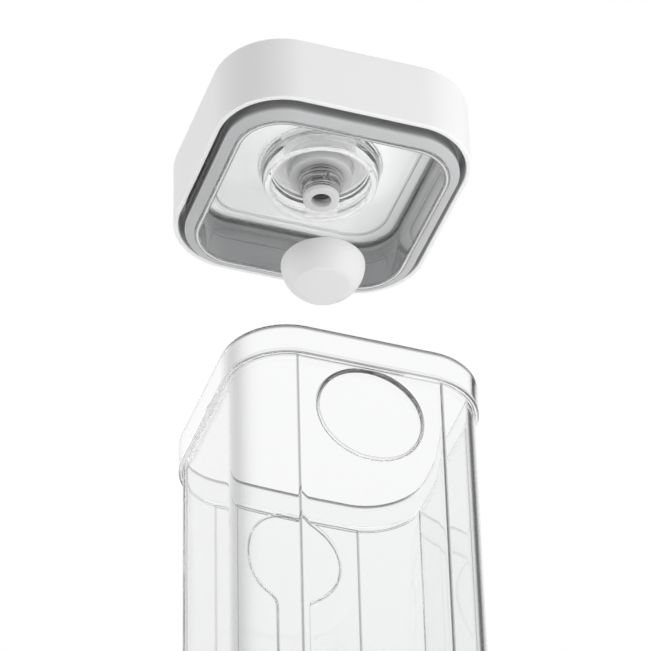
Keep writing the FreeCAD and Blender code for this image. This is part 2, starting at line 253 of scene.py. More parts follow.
def clear_plastic(name, tint, matt, haze_size):
    """Clear moulded plastic: full transmission, with a faint uneven polish in roughness and in the surface.

    The shade mark draws it towards a dark grey: painted shade, dark lines and bands that stand in for the
    shade and refraction along its edges and bends.
    The frost mark makes it rough and cloudy, and draws it towards matt, the colour of its frosted places."""
    material, tree, shader, add = new_material(name)
    shade = add("ShaderNodeAttribute", attribute_name="shade").outputs["Fac"]
    tone = add("ShaderNodeMix", {"Factor": shade}, data_type="RGBA")
    tone.inputs["A"].default_value = (*tint, 1)
    tone.inputs["B"].default_value = (*painted_shade_grey, 1)
    frost = add("ShaderNodeAttribute", attribute_name="frost").outputs["Fac"]
    cloudy = add("ShaderNodeMix", {"Factor": frost, "A": tone.outputs["Result"]}, data_type="RGBA")
    cloudy.inputs["B"].default_value = (*matt, 1)
    tree.links.new(cloudy.outputs["Result"], shader.inputs["Base Color"])
    shader.inputs["Transmission Weight"].default_value = 1.0
    passing = add("ShaderNodeMapRange", {"Value": frost})
    passing.inputs["To Min"].default_value = 1.0
    passing.inputs["To Max"].default_value = frost_passing
    tree.links.new(passing.outputs["Result"], shader.inputs["Transmission Weight"])
    shader.inputs["IOR"].default_value = clear_ior
    place = add("ShaderNodeTexCoord").outputs["Object"]
    haze = add("ShaderNodeTexNoise", {"Vector": place}, in_Scale=1 / haze_size, in_Detail=3.0)
    polish = add("ShaderNodeMapRange", {"Value": haze.outputs["Fac"]})
    polish.inputs["To Min"].default_value = 0.0
    polish.inputs["To Max"].default_value = clear_rough
    grain = add("ShaderNodeMath", {0: frost, 2: polish.outputs["Result"]}, operation="MULTIPLY_ADD")
    grain.inputs[1].default_value = frost_rough
    tree.links.new(grain.outputs["Value"], shader.inputs["Roughness"])
    ripple_scale = 1 / (ripple_spread * haze_size)
    ripple = add("ShaderNodeTexNoise", {"Vector": place}, in_Scale=ripple_scale, in_Detail=1.0)
    bump = add("ShaderNodeBump", {"Height": ripple.outputs["Fac"]})
    bump.inputs["Strength"].default_value = ripple_strength
    bump.inputs["Distance"].default_value = ripple_height
    tree.links.new(bump.outputs["Normal"], shader.inputs["Normal"])
    return material


foot_height = 1.2 * MM
foot_inset = 9.0 * MM
foot_half = body_half - foot_inset
base_round = 5.0 * MM
rim_height = 14.1 * MM
rim_level = canister_height - rim_height
rim_round = 0.7 * MM
join_round = 0.4 * MM
rim_wall = 2.0 * MM
mouth_half = rim_half - rim_wall
mouth_depth = 11.5 * MM
ledge_top = canister_height - mouth_depth
ledge_bottom = ledge_top - (mouth_half - inner_half)
floor_thick = 3.0 * MM
floor_level = foot_height + floor_thick
floor_round = 4.0 * MM
recess_radius = 21.3 * MM
recess_gap = 0.8 * MM
recess_level = rim_level - recess_gap - recess_radius
recess_depth = 1.1 * MM
recess_round = 0.25 * MM
pad_margin = 0.6 * MM
gauge_half = 6.0 * MM
gauge_bend = 7.0 * MM
gauge_low = 26.0 * MM
gauge_end = gauge_low + gauge_half
window_margin = 5.0 * MM
window_gap = 0.05 * MM
line_width = 0.5 * MM
# Painted shade on the clear wall: dark lines, bands and crescents, and a tone on side panels and corners.
rim_shade = 0.92
mouth_shade = 0.3
step_shade = 0.78
ledge_line = 0.2
front_line = 0.8
side_share = 0.2
side_facing = 0.15
front_facing = 0.6
side_panel_shade = 0.12
recess_shade = 1.0
recess_low_shade = 0.4
recess_band = 0.7 * MM
band_fade = 1.5 * recess_band
crescent_shade = 1.0
recess_line = 0.35
keyhole_line = 0.3
foot_shade = 0.03
corner_shade = 0.36
corner_band = math.radians(17)
corner_reach = math.radians(15)
canister_tint = (0.945, 0.949, 0.949)
canister_cloud = (0.76, 0.76, 0.76)
canister_haze = 4.0 * MM
BODY_ROWS = 56
ARC_POINTS = 7
STEP_POINTS = 4
PAD_SHARES = np.array([0.6, 0.25, 0])

set_back = panel_set_back()
quarter_arc = np.linspace(0, math.pi / 2, ARC_POINTS)
base_half = body_half - base_round * (1 - np.sin(quarter_arc))
base_levels = base_round * (1 - np.cos(quarter_arc))
base_rings = square_rings(np.stack([base_half, base_levels, 0 * base_half + corner_centre], axis=1))
base_rings += np.clip(1 - (body_half - base_half) / panel_depth, 0, 1)[:, None, None] * set_back
body_levels = np.linspace(base_round, rim_level - join_round, BODY_ROWS + 1)[1:]
body_rings = stacked(body_half, body_levels) + set_back
ledge_start = stacked(body_half, [rim_level]) + set_back
ledge_end = stacked(rim_half - join_round, [rim_level])
ledge_share = np.array([0.04, 0.22, 0.3, 0.5, 0.75, 0.85, 1.0])
ledge_shade = np.array([step_shade, step_shade, 0.0, 0.0, 0.0, step_shade, step_shade])
ledge_frost = np.array([0.0, 0.0, 1.0, 1.0, 1.0, 0.0, 0.0])
rim_profile = soften([
    square(rim_half - 2 * join_round, rim_level),
    square(rim_half, rim_level, join_round, shade=step_shade),
    square(rim_half, rim_level + join_round + line_width / 2),
    square(rim_half, canister_height - rim_round - line_width),
    square(rim_half, canister_height, rim_round, shade=rim_shade),
    square(mouth_half, canister_height, rim_round, shade=rim_shade),
    square(mouth_half, canister_height - rim_round - line_width, shade=mouth_shade),
    square(mouth_half, canister_height - rim_round - 2 * line_width),
    square(mouth_half, ledge_top + line_width),
    square(mouth_half, ledge_top, join_round, shade=ledge_line),
    square((mouth_half + inner_half) / 2, (ledge_top + ledge_bottom) / 2),
    square(inner_half, ledge_bottom, join_round, shade=ledge_line),
    square(inner_half, ledge_bottom - join_round / 2),
])
inner_levels = np.linspace(rim_profile[-1, 1], floor_level + floor_round, BODY_ROWS + 1)
floor_half = inner_half - floor_round * (1 - np.cos(quarter_arc))
floor_levels = floor_level + floor_round * (1 - np.sin(quarter_arc))
floor_rings = square_rings(np.stack([floor_half, floor_levels, 0 * floor_half + corner_centre], axis=1))
foot_rings = stacked(foot_half, [foot_height, 0.0])
bottom = np.zeros((1, COLUMNS, 3)) + (0, 0, foot_height)
inside = np.zeros((1, COLUMNS, 3)) + (0, 0, floor_level)
inner_rings = stacked(inner_half, inner_levels)
ledge_rings = ledge_start + ledge_share[:, None, None] * (ledge_end - ledge_start)
stacks = [bottom, foot_rings, base_rings, body_rings, ledge_rings,
          square_rings(rim_profile[1:-1]), inner_rings, floor_rings[1:], inside]
BODY, LEDGE, RIM, INNER = 3, 4, 5, 6
canister_rings = np.concatenate(stacks)
outer_first = sum(len(stack) for stack in stacks[:BODY])
inner_first = sum(len(stack) for stack in stacks[:INNER])
sideways = np.append(0 * flat, np.sin(turn))
forwards = np.append(1 + 0 * flat, np.cos(turn))
facing = np.abs(four_quarters(sideways, forwards)[1])
facing_front = np.clip((facing - side_facing) / (front_facing - side_facing), 0, 1)


def paint_canister_shade():
    """Painted shade of each point of the grid: grey that stands in for the shade and refraction of the wall.

    There is a painted line for each bend of the profile, weaker towards the left and right sides; one along
    each shoulder of the front and back panels that rises and falls as half a sine wave; painted shade on the
    side panels; a soft painted band of shade on each front corner, beside the side panel, that fades as a
    bell curve; and a little more painted shade near the foot."""
    row_shade = [np.zeros(len(stack)) for stack in stacks]
    row_shade[LEDGE] = ledge_shade
    row_shade[RIM] = rim_profile[1:-1, 3]
    bends = np.concatenate(row_shade)[:, None] * (side_share + (1 - side_share) * facing_front)
    share = np.clip((half_turn - panel_turn) / (shoulder_turn - panel_turn), 0, 1)
    wave = np.sin(math.pi * share)
    none = np.zeros(flat.size)
    from_front = np.concatenate([none, front_line * wave, 0 * wave[-2:0:-1]])
    from_side = np.concatenate([none + side_panel_shade, 0 * wave, front_line * wave[-2:0:-1]])
    shoulders = np.concatenate([from_front, from_side, from_front, from_side])
    bands = np.array([[math.pi / 2 - corner_band], [corner_band]])
    bells = np.exp(-((turn - bands) / corner_reach) ** 2)
    before, after = np.pad(bells, ((0, 0), (flat.size, 0)))
    corners = np.concatenate([before, 0 * before, 0 * after, after])
    shaft = np.zeros(len(canister_rings))
    shaft[outer_first:outer_first + len(body_rings)] = 1
    shade = bends + shaft[:, None] * shoulders + corner_shade * corners
    return np.clip(shade + foot_shade * (1 - canister_rings[:, :, 2] / canister_height), 0, 1)


def canister_frost():
    """Matt finish of each point of the grid, which only the underside of the rim's step has.

    In front and behind it lies between the step's two lines, and on the left and right sides all over."""
    front = [np.zeros(len(stack)) for stack in stacks]
    side = [np.zeros(len(stack)) for stack in stacks]
    front[LEDGE] = ledge_frost
    side[LEDGE] = np.ones(len(ledge_frost))
    side[RIM][:EDGE_POINTS] = 1
    front = np.concatenate(front)[:, None]
    side = np.concatenate(side)[:, None]
    return front * facing_front + side * (1 - facing_front)


def circle_outline(x, z, radius):
    """Point of the round recess in the same direction from its centre as each point of the window's edge."""
    rise = z - recess_level
    reach = np.hypot(x, rise)
    return x / reach * radius, recess_level + rise / reach * radius


def keyhole_outline(x, z, grow, window_half, window_top, window_bottom):
    """Point of the keyhole, grown all round, for each point of the window's edge, going down from its top.

    The part of the edge above the bends follows the round recess and then the bend by distance; the part
    beside the strip keeps its height; the rest follows the strip's round end.
    """
    radius = recess_radius + grow
    half = gauge_half + grow
    bend = gauge_bend - grow
    bend_level = recess_level - math.sqrt((radius + bend) ** 2 - (half + bend) ** 2)
    bend_start = math.pi - math.atan2(half + bend, recess_level - bend_level)
    round_length = radius * bend_start
    bend_length = bend * (bend_start - math.pi / 2)
    gone = np.abs(x) + (window_top - z)
    upper = np.clip(gone / (window_half + window_top - bend_level), 0, 1) * (round_length + bend_length)
    angle = np.minimum(upper, round_length) / radius
    past = np.clip(upper - round_length, 0, None) / bend
    on_bend = bend_start - past
    on_round = upper <= round_length
    ax = np.where(on_round, radius * np.sin(angle), half + bend - bend * np.sin(on_bend))
    az = np.where(on_round, recess_level + radius * np.cos(angle), bend_level - bend * np.cos(on_bend))
    low_gone = window_half - np.abs(x) + (gauge_end - z)
    low = np.clip(low_gone / (window_half + gauge_end - window_bottom), 0, 1) * math.pi / 2
    beside = (z < bend_level) & (z >= gauge_end)
    below = z < gauge_end
    ax = np.where(beside, half, np.where(below, half * np.cos(low), ax))
    az = np.where(beside, z, np.where(below, gauge_end - half * np.sin(low), az))
    return np.sign(x) * ax, az


def press_window(rows, columns, outline, push, step_line, band):
    """Pressed shape in a window of the grid: rings from its edge to the outline, down a step, and in.

    The step is rounded at both edges: its offset and depth follow quarter arcs of the recess's edge radius.
    Returns the new points, their quads, and their painted shade and frost. The painted shade is a dark
    line on the step, weakest along its lower side, and a painted band round it, which is (all round, more at
    the upper left and right, where it paints dark crescents). The frost lies along the step's lower side.
    """
    edge = np.concatenate([
        canister_rings[rows[0], columns],
        canister_rings[rows[1:], columns[-1]],
        canister_rings[rows[-1], columns[-2::-1]],
        canister_rings[rows[-2:0:-1], columns[0]],
    ])
    ox, oz = outline(edge[:, 0], edge[:, 2])
    tangent = np.stack([np.roll(ox, -1) - np.roll(ox, 1), np.roll(oz, -1) - np.roll(oz, 1)], axis=1)
    area = np.sum(ox * np.roll(oz, -1) - np.roll(ox, -1) * oz)
    outward = np.stack([tangent[:, 1], -tangent[:, 0]], axis=1) * np.sign(area)
    outward /= np.hypot(*outward.T)[:, None]
    arc = np.linspace(0, math.pi / 2, STEP_POINTS)
    depth = abs(push)
    inner = recess_round * (np.cos(arc) - 1)
    outer = recess_round * (1 - np.sin(arc))
    offset = np.concatenate([[band_fade, recess_band], outer, inner, [-2 * recess_round]])
    sink = np.concatenate([[0, 0], -inner, depth - outer, [depth]])
    plane = edge[len(columns) // 2, 1]
    x = ox + offset[:, None] * outward[:, 0]
    y = plane + np.sign(push) * sink[:, None] + 0 * x
    z = np.minimum(oz + offset[:, None] * outward[:, 1], edge[:, 2].max() - window_gap)
    step = np.stack([x, y, z], axis=2)
    centre = np.array([0, plane + push, recess_level])
    inwards = centre + (step[-1] - centre) * PAD_SHARES[:, None, None]
    new = np.concatenate([edge[None], step, inwards])
    rise = outward[:, 1]
    upper_sides = np.clip(2 * rise * np.abs(outward[:, 0]), 0, 1)
    lower_side = np.clip(0.5 - rise, 0, 1)
    shade = np.zeros(new.shape[:2]) + foot_shade * (1 - new[:, :, 2] / canister_height)
    band_row = 2
    step_rows = slice(band_row + 1, len(step))
    shade[band_row] += band[0] + band[1] * upper_sides
    shade[step_rows] = step_line * (1 + recess_low_shade + (1 - recess_low_shade) * rise) / 2
    frost = np.zeros(new.shape[:2])
    frost[step_rows] = step_line * lower_side
    quads = grid_quads(*new.shape[:2]).reshape(-1, 4)
    return new.reshape(-1, 3), quads, np.stack([shade, frost]).reshape(2, -1)


def canister_mesh():
    """Shaft, rim and inside as one closed grid, with the four pressed shapes set into windows of it."""
    points = [canister_rings.reshape(-1, 3)]
    marks = [np.stack([paint_canister_shade(), canister_frost()]).reshape(2, -1)]
    cells = grid_quads(len(canister_rings), COLUMNS)
    kept = np.ones(cells.shape[:2], bool)
    quads = []

    def press(wall, keyhole, grow, step_line, band):
        """Takes a window out of one wall and puts the shape into it.

        Its rows go down to below the shape, and its columns from one edge of the front or back flat to the
        other, with the overlap's columns on each side."""
        levels, first, overlap = wall
        low = gauge_low if keyhole else recess_level - recess_radius
        rows = np.flatnonzero(levels >= low - window_margin)
        heights = levels[rows]
        rows = rows + first
        start = 2 * QUARTER if keyhole else 0
        columns = np.arange(start - overlap, start + flat.size + overlap + 1) % COLUMNS
        kept[np.ix_(rows[:-1], columns[:-1])] = False
        half_width = abs(canister_rings[rows[-1], columns[-1], 0])

        def outline(x, z):
            if keyhole:
                return keyhole_outline(x, z, grow, half_width, heights.max(), heights.min())
            return circle_outline(x, z, recess_radius + grow)

        push = -recess_depth if keyhole else recess_depth
        new_points, new_quads, new_marks = press_window(rows, columns, outline, push, step_line, band)
        quads.append(new_quads + sum(len(group) for group in points))
        points.append(new_points)
        marks.append(new_marks)

    outer_wall = (body_levels, outer_first, PANEL_STEPS)
    inner_wall = (inner_levels, inner_first, 0)
    press(outer_wall, keyhole=False, grow=0.0, step_line=recess_shade, band=(recess_line, crescent_shade))
    press(outer_wall, keyhole=True, grow=0.0, step_line=recess_shade, band=(keyhole_line, 0.0))
    press(inner_wall, keyhole=False, grow=pad_margin, step_line=recess_shade, band=(0.0, crescent_shade))
    press(inner_wall, keyhole=True, grow=pad_margin, step_line=0.0, band=(0.0, 0.0))
    quads.append(cells[kept].reshape(-1, 4))
    return np.concatenate(points), np.concatenate(quads), *np.concatenate(marks, axis=1)


canister_points, canister_quads, canister_painted_shade, canister_matt = canister_mesh()
canister_plastic = clear_plastic("canister plastic", canister_tint, canister_cloud, canister_haze)
canister = make_piece("canister", canister_points, canister_quads, canister_plastic, "canister",
                      "canister_clear", shade=canister_painted_shade, frost=canister_matt)
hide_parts("canister_body")

# Lid cover: the white outer shell, moulded in hard satin plastic. Its skirt goes over the canister's rim, and
# a round dish in its top takes the pump. The shell is hollow behind the skirt, down to the dish's floor.
cover_low, cover_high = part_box("lid_cover")
lid_level = cover_low.z
lid_half = cover_high.x
lid_height = cover_high.z - lid_level
lid_wall = 2.2 * MM
skirt_inner_half = lid_half - lid_wall
skirt_step = 2.0 * MM
cover_inner_half = skirt_inner_half - skirt_step
lid_top_round = 3.0 * MM
lid_top_thick = 2.4 * MM
lid_ceiling = lid_height - lid_top_thick
backing_top = 22.3 * MM
dish_radius = 27.0 * MM
dish_outer = dish_radius + lid_wall
dish_foot = 0.8 * MM
dish_edge = 1.2 * MM
seat_under = 24.7 * MM
dish_floor = seat_under + lid_wall
skirt_round = 0.6 * MM
top_guard = 3.0 * MM
stem_hole = 1.6 * MM
collar_inner = 8.3 * MM
collar_wall = 1.8 * MM
collar_outer = collar_inner + collar_wall
collar_gap = 0.3 * MM
collar_low = backing_top + collar_gap
lid_white = (0.84, 0.84, 0.84)
ROUND = -1.0

lid_square = stacked(lid_half, [0.0])[0]
column_angle = np.arctan2(lid_square[:, 1], lid_square[:, 0])


def circle(radius, height, edge=0.0, shade=0.0, frost=0.0):
    """Corner of a profile that is carried round a circle; ROUND stands in the place of the corner axis."""
    return radius, height, edge, ROUND, shade, frost


def lid_rings(profile):
    """Rings of a lid piece: rounded squares, and circles whose columns stand at the lid's own polar angles,
    so that a face may run from a square edge to a round one. Heights count from the skirt's lower edge."""
    rings = square_rings(profile)
    x = profile[:, :1] * np.cos(column_angle)
    y = profile[:, :1] * np.sin(column_angle)
    round_rings = np.stack([x, y, rings[:, :, 2]], axis=2)
    rings = np.where((profile[:, 2] == ROUND)[:, None, None], round_rings, rings)
    return rings + (0, 0, lid_level)


grain_size = 0.35 * MM
grain_strength = 0.08
grain_height = 0.05 * MM
satin_rough = 0.5
satin_spread = 0.06
satin_gloss = 0.3
satin_cloud = 60 * grain_size
satin_dim = 0.985


def satin_plastic(name, colour):
    """Opaque moulded plastic with a fine spark-eroded grain: speckled roughness and a shallow bump.

    Its colour is a little dimmer in wide soft clouds."""
    material, tree, shader, add = new_material(name)
    shader.inputs["Specular IOR Level"].default_value = satin_gloss
    place = add("ShaderNodeTexCoord").outputs["Object"]
    grain = add("ShaderNodeTexNoise", {"Vector": place}, in_Scale=1 / grain_size, in_Detail=4.0)
    cloud = add("ShaderNodeTexNoise", {"Vector": place}, in_Scale=1 / satin_cloud, in_Detail=2.0)
    shade = add("ShaderNodeMix", {"Factor": cloud.outputs["Fac"]}, data_type="RGBA")
    shade.inputs["A"].default_value = (*[satin_dim * c for c in colour], 1)
    shade.inputs["B"].default_value = (*colour, 1)
    tree.links.new(shade.outputs["Result"], shader.inputs["Base Color"])
    polish = add("ShaderNodeMapRange", {"Value": grain.outputs["Fac"]})
    polish.inputs["To Min"].default_value = satin_rough - satin_spread
    polish.inputs["To Max"].default_value = satin_rough + satin_spread
    tree.links.new(polish.outputs["Result"], shader.inputs["Roughness"])
    bump = add("ShaderNodeBump", {"Height": grain.outputs["Fac"]})
    bump.inputs["Strength"].default_value = grain_strength
    bump.inputs["Distance"].default_value = grain_height
    tree.links.new(bump.outputs["Normal"], shader.inputs["Normal"])
    return material


cover_profile = soften([
    circle(stem_hole, dish_floor),
    circle(dish_radius, dish_floor, dish_foot),
    circle(dish_radius, lid_height, dish_edge),
    circle(dish_radius + top_guard, lid_height),
    square(lid_half - lid_top_round - top_guard, lid_height),
    square(lid_half, lid_height, lid_top_round),
    square(lid_half, 0.0, skirt_round),
    square(skirt_inner_half, 0.0, skirt_round),
    square(skirt_inner_half, backing_top),
    square(cover_inner_half, backing_top),
    square(cover_inner_half, lid_ceiling),
    circle(dish_outer, lid_ceiling),
    circle(dish_outer, seat_under),
    circle(collar_outer, seat_under),
    circle(collar_outer, collar_low),
    circle(collar_inner, collar_low),
    circle(collar_inner, seat_under),
    circle(stem_hole, seat_under),
])[::-1]
white_plastic = satin_plastic("white lid plastic", lid_white)
cover = make_piece("lid_shell", lid_rings(cover_profile), grid_quads(len(cover_profile), COLUMNS, True),
                   white_plastic, "lid", "lid_white")
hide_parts("lid_cover")

# Backing plate: a flat white plate welded under the cover's step, seen only through the clear moulding.
# It keeps its plain shape, and only gets the cover's plastic.
backing_white = (0.88, 0.88, 0.88)
backing_plastic = satin_plastic("white backing plastic", backing_white)
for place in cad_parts["backing_plate"].material_slots:
    place.material = backing_plastic

# Valve carrier: one moulding in clear plastic that closes the lid below. Its wall plugs the canister's
# mouth, a raised panel carries a ring, and inside the ring a stepped boss and a hollow nipple lead the air
# up to the valve.
air_gap = 0.12 * MM
fine = 0.3 * MM
guard = 0.6 * MM
flat_guard = 2.0 * MM
gasket_inner = 47.0 * MM
plug_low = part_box("valve_carrier")[0].z - lid_level
plug_half = gasket_inner - air_gap
plug_wall = 2.4 * MM
plug_inner = gasket_inner - plug_wall
plug_soft = 0.6 * MM
plug_root = 1.0 * MM
bead = 0.6 * MM
bead_level = 9.0 * MM
plate_level = 18.5 * MM
plate_thick = 2.0 * MM
plate_top = plate_level + plate_thick - air_gap
plate_margin = 4.0 * MM
panel_rise = 0.8 * MM
panel_level = plate_level - panel_rise
panel_inset = 5.8 * MM
panel_edge_half = plug_inner - panel_inset
panel_corner = 15.0 * MM
panel_centre = panel_edge_half - panel_corner
panel_round = 0.4 * MM
ring_base = 26.6 * MM
ring_root = 0.8 * MM
ring_lip = 23.9 * MM
ring_inner = 21.4 * MM
ring_low = 7.0 * MM
ring_round = 0.9 * MM
floor_wall = 1.8 * MM
well_level = 16.5 * MM
well_top = well_level + floor_wall
well_round = 0.8 * MM
boss_radius = 13.5 * MM
boss_low = 11.1 * MM
boss_round = 0.6 * MM
boss_margin = 1.2 * MM
pocket_floor = boss_low + floor_wall
pocket_radius = boss_radius - floor_wall
pocket_round = 0.8 * MM
nipple_radius = 9.5 * MM
nipple_low = 5.4 * MM
nipple_round = 0.4 * MM
nipple_foot = 0.5 * MM
groove_depth = 0.5 * MM
groove_half = 0.45 * MM
groove_round = 0.1 * MM
tip_radius = 7.8 * MM
tip_low = -1.6 * MM
tip_round = 0.8 * MM
tip_plain = 0.2 * MM
slot_half = 0.8 * MM
slot_low = 3.6 * MM
slot_high = 6.6 * MM
bore = 4.2 * MM
bore_fade = 4.5 * MM
slot_depth = 0.7 * MM
slot_floor = bore + slot_depth
chimney = 8.0 * MM
chimney_top = 23.1 * MM
root_band = 1.6 * MM
root_fade = 1.0 * MM
carrier_tint = (0.985, 0.988, 0.988)
carrier_cloud = (0.94, 0.94, 0.94)
carrier_haze = 3.0 * MM

# Finishes of its edges and walls: shade is painted shade, dark lines and bands that stand in for the shade
# and refraction of its edges, grooves and deep bore; frost is the cloudy look of a small ledge.
cloudy = {"frost": 1.0}
dark_bore = {"shade": 1.0}
tip_neck = {"frost": 0.2}
tip_root = {"frost": 0.2, "shade": 0.5}
nipple_edge = {"frost": 0.35}
nipple_side = {"frost": 0.25}
nipple_root = {"frost": 0.4, "shade": 0.5}
groove_land = {"frost": 0.5}
groove_floor = {"frost": 0.1, "shade": 0.3}
boss_edge = {"frost": 0.45}
boss_root = {"frost": 0.4, "shade": 0.35}
panel_line = {"shade": 0.6}
wall_root = {"shade": 0.85}
wall_side = {"shade": 0.1}
wall_edge = {"frost": 0.2, "shade": 0.75}
wall_end = {"frost": 0.8}


def nipple_grooves(radius, low, high):
    """Two square grooves that part a length of the nipple in three equal lands, from its lower end up.

    The lands are cloudier than the grooves between them, and painted shade darkens the grooves."""
    inner = radius - groove_depth
    lower = [(radius, -1, groove_land), (inner, -1, groove_floor)]
    upper = [(inner, 1, groove_floor), (radius, 1, groove_land)]
    levels = low + (high - low) * np.array([1, 2]) / 3
    return [
        circle(reach, level + side * groove_half, groove_round, **finish)
        for level in levels
        for reach, side, finish in lower + upper
    ]


carrier_profile = soften([
    square(plug_half, plug_low, plug_soft, **wall_edge),
    square(plug_half, plug_low + 2 * plug_soft),
    square(plug_half, bead_level - bead),
    square(plug_half + bead, bead_level),
    square(plug_half, bead_level + bead),
    square(plug_half, plate_top, fine),
    square(plug_half - plate_margin, plate_top),
    circle(ring_base, plate_top),
    circle(ring_inner, plate_top, fine),
    circle(ring_inner, well_top, fine),
    circle(pocket_radius, well_top, fine, **cloudy),
    circle(pocket_radius, pocket_floor, pocket_round, **cloudy),
    circle(chimney, pocket_floor, fine, **cloudy),
    circle(chimney, chimney_top, fine, **cloudy),
    circle(bore, chimney_top, fine, **dark_bore),
    circle(bore, tip_low + bore_fade, **dark_bore),
    circle(bore, tip_low + fine, **cloudy),
    circle(bore, tip_low, fine, **cloudy),
    circle(tip_radius, tip_low, tip_round, **cloudy),
    circle(tip_radius, tip_plain, **cloudy),
    *nipple_grooves(tip_radius, tip_plain, slot_low),
    circle(tip_radius, slot_low, **tip_neck),
    circle(tip_radius, slot_low, **tip_neck),
    circle(tip_radius, nipple_low, fine, **tip_root),
    circle(nipple_radius, nipple_low, nipple_round, **nipple_edge),
    circle(nipple_radius, slot_high, **nipple_side),
    circle(nipple_radius, slot_high, **nipple_side),
    *nipple_grooves(nipple_radius, nipple_low, boss_low),
    circle(nipple_radius, boss_low, nipple_foot, **nipple_root),
    circle(boss_radius, boss_low, boss_round, **boss_edge),
    circle(boss_radius, well_level, well_round, **boss_root),
    circle(boss_radius + boss_margin, well_level),
    circle(ring_inner, well_level, well_round),
    circle(ring_inner, ring_low, ring_round),
    circle(ring_lip, ring_low, ring_round),
    circle(ring_base, panel_level, ring_root),
    circle(ring_base + flat_guard, panel_level),
    square(panel_edge_half - guard, panel_level, centre=panel_centre - guard),
    square(panel_edge_half, panel_level, panel_round, panel_centre, **panel_line),
    square(panel_edge_half, plate_level, fine, panel_centre, **panel_line),
    square(panel_edge_half + guard, plate_level, centre=panel_centre + guard),
    square(plug_inner - flat_guard, plate_level),
    square(plug_inner, plate_level, plug_root, **wall_root),
    square(plug_inner, plate_level - root_band, **wall_root),
    square(plug_inner, plate_level - root_band - root_fade, **wall_side),
    square(plug_inner, plug_low + 2 * plug_soft, **wall_side),
    square(plug_inner, plug_low, plug_soft, **wall_edge),
    square((plug_half + plug_inner) / 2, plug_low, **wall_end),
])
SLOT_SIDES = np.array([-1, -1, 0, 1, 1])


def cut_slot(rings):
    """Vent slot in the front of the nipple: the two columns on each side of the front one move to the slot's
    side planes, at the full radius, and between its ends the inner three drop to the slot's floor."""
    front = flat.size // 2
    size, height = carrier_profile.T[:2]
    on_nipple = (size > bore) & (size < boss_radius) & (height > tip_low) & (height < boss_low)
    rows = np.flatnonzero(on_nipple & (height >= slot_low) & (height <= slot_high))
    side = slot_half * SLOT_SIDES
    radius = np.repeat(size[rows, None], side.size, axis=1)
    radius[1:-1, 1:4] = slot_floor
    columns = np.arange(front - 2, front + 3)
    rings[np.ix_(rows, columns, [0])] = np.broadcast_to(side, radius.shape)[..., None]
    rings[np.ix_(rows, columns, [1])] = -np.sqrt(radius ** 2 - side ** 2)[..., None]
    return rings


carrier_rings = cut_slot(lid_rings(carrier_profile))
carrier_painted_shade, carrier_matt = np.repeat(carrier_profile.T[3:], COLUMNS, axis=1)
carrier_plastic = clear_plastic("lid clear plastic", carrier_tint, carrier_cloud, carrier_haze)
carrier = make_piece("valve_moulding", carrier_rings, grid_quads(len(carrier_profile), COLUMNS, True),
                     carrier_plastic, "lid", "carrier_clear", shade=carrier_painted_shade, frost=carrier_matt)
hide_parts("valve_carrier")

# Lid gasket: a grey silicone ring stretched over the plug wall, held by the wall's bead. Two lips on its
# outside seal against the canister's mouth, and its lower face slopes in towards the plug.
gasket_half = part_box("lid_gasket")[1].x
neck_depth = 0.7 * MM
gasket_neck = gasket_half - neck_depth
gasket_rise = 0.6 * MM
gasket_low = plug_low + gasket_rise
gasket_top = 15.4 * MM
gasket_fade = 1.0 * MM
lip_thick = 1.6 * MM
lip_slope = 0.7 * MM
lip_low = -3.0 * MM
lip_top = lip_low + lip_thick
second_low = 5.2 * MM
second_top = second_low + lip_thick
seam_round = 0.15 * MM
neck_round = 0.3 * MM
first_round = 0.6 * MM
second_round = 0.5 * MM
top_round = 0.4 * MM
gasket_grey = (0.48, 0.485, 0.49)
# Painted shadow: the gasket's sides, deep in the channel and behind the clear wall, are painted darker.
gasket_shadow_grey = (0.33, 0.333, 0.337)
gasket_rough = 0.45
painted_shadow = {"shade": 1.0}
gasket_profile = soften([
    square(gasket_inner, gasket_low, seam_round),
    square(gasket_half, lip_low, first_round),
    square(gasket_half, lip_top, neck_round, **painted_shadow),
    square(gasket_neck, lip_top + lip_slope, neck_round, **painted_shadow),
    square(gasket_neck, second_low - lip_slope, neck_round, **painted_shadow),
    square(gasket_half, second_low, second_round, **painted_shadow),
    square(gasket_half, second_top, second_round, **painted_shadow),
    square(gasket_neck, second_top + lip_slope, neck_round, **painted_shadow),
    square(gasket_neck, gasket_top, top_round, **painted_shadow),
    square(gasket_inner, gasket_top, seam_round, **painted_shadow),
    square(gasket_inner, bead_level + bead, **painted_shadow),
    square(gasket_inner + bead, bead_level, **painted_shadow),
    square(gasket_inner, bead_level - bead, **painted_shadow),
    square(gasket_inner, gasket_low + gasket_fade, **painted_shadow),
])
silicone_depth = 1.5 * MM
silicone_glow = 0.15
silicone_gloss = 0.4
silicone_spread = 0.08
silicone_dim = 0.97
dust_size = 0.3 * MM
dust_cloud = 40 * dust_size
dust_sharp = 0.6
dust_strength = 0.1
dust_height = 0.04 * MM


